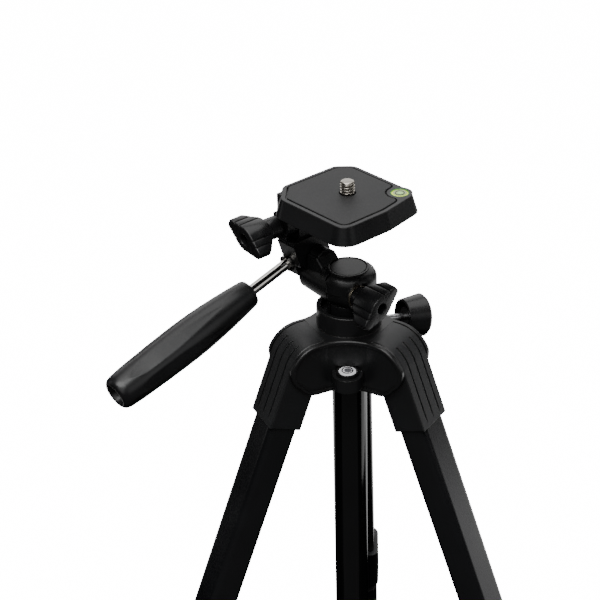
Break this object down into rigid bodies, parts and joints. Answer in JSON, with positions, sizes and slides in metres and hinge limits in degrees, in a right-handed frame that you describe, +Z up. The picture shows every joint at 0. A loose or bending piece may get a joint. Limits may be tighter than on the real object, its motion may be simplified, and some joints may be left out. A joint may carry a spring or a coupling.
{
  "type": "pan head tripod",
  "caption": "Compact tripod with telescoping legs, sliding column and a pan, tilt and flip head whose platform carries a quarter-inch screw.",
  "frame": {"origin": "floor point under the column axis, legs spread", "axes": "+Z up along the column; the rear leg points along +Y, the two front legs 30 degrees below +X and -X; the pan handle points to -X -Y"},
  "size_m": [0.2634, 0.2292, 0.3803],
  "materials": {
    "spider_plastic": "satin moulded nylon",
    "leg_plastic": "satin moulded nylon with fine grain",
    "head_plastic": "satin moulded nylon",
    "knob_plastic": "semi-gloss moulded plastic",
    "grip_plastic": "smooth satin grip",
    "pad_rubber": "fine matt grain",
    "foot_rubber": "matt rubber",
    "anodised_tube": "black anodised, glossy",
    "column_gloss": "gloss black",
    "chrome": "polished plate",
    "nickel": "nickel plated thread",
    "steel": "zinc plated",
    "brass": "plain washer",
    "vial_green": "acrylic with green liquid",
    "vial_clear": "acrylic with clear liquid",
    "nylon_shoe": "natural nylon"
  },
  "bodies": {
    "spider": {"spider_body": "spider_plastic", "spider_vial": "vial_clear", "hinge_pins": "steel", "column_brake_shoe": "nylon_shoe"},
    "column": {"column_tube": "column_gloss", "column_end_cap": "head_plastic", "pan_base": "head_plastic", "pan_bolt": "steel"},
    "head": {"head_body": "head_plastic", "head_cap": "head_plastic", "tilt_shaft": "steel", "pan_washer": "brass"},
    "pan_knob": {"pan_lock_knob": "knob_plastic", "pan_lock_screw": "steel"},
    "tilt": {"tilt_block": "head_plastic"},
    "handle": {"handle_rod": "chrome", "handle_nut": "chrome", "handle_grip": "grip_plastic"},
    "platform": {"camera_plate": "head_plastic", "plate_pad": "pad_rubber", "plate_vial": "vial_green"},
    "screw": {"camera_screw": "nickel", "camera_screw_dial": "knob_plastic"},
    "flip_knob": {"flip_lock_knob": "knob_plastic", "flip_bolt": "steel"},
    "column_knob": {"column_lock_knob": "knob_plastic", "column_lock_screw": "steel"},
    "leg_right": {"leg_cap_right": "leg_plastic", "upper_tube_right": "anodised_tube", "upper_lock_right": "leg_plastic", "upper_lever_pin_right": "steel"},
    "mid_right": {"mid_tube_right": "anodised_tube", "lower_lock_right": "leg_plastic", "lower_lever_pin_right": "steel"},
    "low_right": {"lower_tube_right": "anodised_tube", "foot_right": "foot_rubber"},
    "upper_lever_right": {"upper_lever_right": "knob_plastic"},
    "lower_lever_right": {"lower_lever_right": "knob_plastic"},
    "leg_rear": {"leg_cap_rear": "leg_plastic", "upper_tube_rear": "anodised_tube", "upper_lock_rear": "leg_plastic", "upper_lever_pin_rear": "steel"},
    "mid_rear": {"mid_tube_rear": "anodised_tube", "lower_lock_rear": "leg_plastic", "lower_lever_pin_rear": "steel"},
    "low_rear": {"lower_tube_rear": "anodised_tube", "foot_rear": "foot_rubber"},
    "upper_lever_rear": {"upper_lever_rear": "knob_plastic"},
    "lower_lever_rear": {"lower_lever_rear": "knob_plastic"},
    "leg_left": {"leg_cap_left": "leg_plastic", "upper_tube_left": "anodised_tube", "upper_lock_left": "leg_plastic", "upper_lever_pin_left": "steel"},
    "mid_left": {"mid_tube_left": "anodised_tube", "lower_lock_left": "leg_plastic", "lower_lever_pin_left": "steel"},
    "low_left": {"lower_tube_left": "anodised_tube", "foot_left": "foot_rubber"},
    "upper_lever_left": {"upper_lever_left": "knob_plastic"},
    "lower_lever_left": {"lower_lever_left": "knob_plastic"}
  },
  "joints": [
    {"name": "column_slide", "type": "slide", "parent": "spider", "child": "column", "axis": [0, 0, 1], "range_m": [0, 0.18]},
    {"name": "pan_turn", "type": "hinge", "parent": "column", "child": "head", "pos_m": [0, 0, 0.32], "axis": [0, 0, 1], "continuous": true},
    {"name": "pan_lock_turn", "type": "hinge", "parent": "head", "child": "pan_knob", "pos_m": [0.01061, -0.01768, 0.3301], "axis": [0.7071, -0.7071, 0], "range_deg": [0, 180]},
    {"name": "head_tilt", "type": "hinge", "parent": "head", "child": "tilt", "pos_m": [-0.01662, 0.01167, 0.3388], "axis": [0.7071, -0.7071, 0], "range_deg": [-75, 20]},
    {"name": "handle_twist", "type": "hinge", "parent": "tilt", "child": "handle", "pos_m": [-0.0268, 0.00856, 0.33605], "axis": [-0.6807, -0.6807, -0.2706], "range_deg": [0, 180]},
    {"name": "platform_flip", "type": "hinge", "parent": "tilt", "child": "platform", "pos_m": [-0.01732, 0.01732, 0.3565], "axis": [-0.7071, -0.7071, 0], "range_deg": [0, 90]},
    {"name": "flip_lock_turn", "type": "hinge", "parent": "tilt", "child": "flip_knob", "pos_m": [-0.03854, -0.00389, 0.3565], "axis": [-0.7071, -0.7071, 0], "range_deg": [0, 180]},
    {"name": "camera_screw_turn", "type": "hinge", "parent": "platform", "child": "screw", "pos_m": [0, 0, 0.3743], "axis": [0, 0, 1], "continuous": true},
    {"name": "column_lock_turn", "type": "hinge", "parent": "spider", "child": "column_knob", "pos_m": [0, 0, 0.3101], "axis": [0.8823, 0.4496, -0.1392], "range_deg": [0, 180]},
    {"name": "leg_hinge_right", "type": "hinge", "parent": "spider", "child": "leg_right", "pos_m": [0.02009, -0.0116, 0.2992], "axis": [0.5, 0.866, 0], "range_deg": [0, 21]},
    {"name": "mid_slide_right", "type": "slide", "parent": "leg_right", "child": "mid_right", "axis": [0.3104, -0.1792, -0.9336], "range_m": [0, 0.165]},
    {"name": "low_slide_right", "type": "slide", "parent": "mid_right", "child": "low_right", "axis": [0.3104, -0.1792, -0.9336], "range_m": [0, 0.165]},
    {"name": "upper_lever_right_turn", "type": "hinge", "parent": "leg_right", "child": "upper_lever_right", "pos_m": [0.10718, -0.06188, 0.07644], "axis": [0.5, 0.866, 0], "range_deg": [0, 100]},
    {"name": "lower_lever_right_turn", "type": "hinge", "parent": "mid_right", "child": "lower_lever_right", "pos_m": [0.12017, -0.06938, 0.034], "axis": [0.5, 0.866, 0], "range_deg": [0, 100]},
    {"name": "leg_hinge_rear", "type": "hinge", "parent": "spider", "child": "leg_rear", "pos_m": [0, 0.0232, 0.2992], "axis": [-1, 0, 0], "range_deg": [0, 21]},
    {"name": "mid_slide_rear", "type": "slide", "parent": "leg_rear", "child": "mid_rear", "axis": [0, 0.3584, -0.9336], "range_m": [0, 0.165]},
    {"name": "low_slide_rear", "type": "slide", "parent": "mid_rear", "child": "low_rear", "axis": [0, 0.3584, -0.9336], "range_m": [0, 0.165]},
    {"name": "upper_lever_rear_turn", "type": "hinge", "parent": "leg_rear", "child": "upper_lever_rear", "pos_m": [0, 0.12376, 0.07644], "axis": [-1, 0, 0], "range_deg": [0, 100]},
    {"name": "lower_lever_rear_turn", "type": "hinge", "parent": "mid_rear", "child": "lower_lever_rear", "pos_m": [0, 0.13876, 0.034], "axis": [-1, 0, 0], "range_deg": [0, 100]},
    {"name": "leg_hinge_left", "type": "hinge", "parent": "spider", "child": "leg_left", "pos_m": [-0.02009, -0.0116, 0.2992], "axis": [0.5, -0.866, 0], "range_deg": [0, 21]},
    {"name": "mid_slide_left", "type": "slide", "parent": "leg_left", "child": "mid_left", "axis": [-0.3104, -0.1792, -0.9336], "range_m": [0, 0.165]},
    {"name": "low_slide_left", "type": "slide", "parent": "mid_left", "child": "low_left", "axis": [-0.3104, -0.1792, -0.9336], "range_m": [0, 0.165]},
    {"name": "upper_lever_left_turn", "type": "hinge", "parent": "leg_left", "child": "upper_lever_left", "pos_m": [-0.10718, -0.06188, 0.07644], "axis": [0.5, -0.866, 0], "range_deg": [0, 100]},
    {"name": "lower_lever_left_turn", "type": "hinge", "parent": "mid_left", "child": "lower_lever_left", "pos_m": [-0.12017, -0.06938, 0.034], "axis": [0.5, -0.866, 0], "range_deg": [0, 100]}
  ]
}
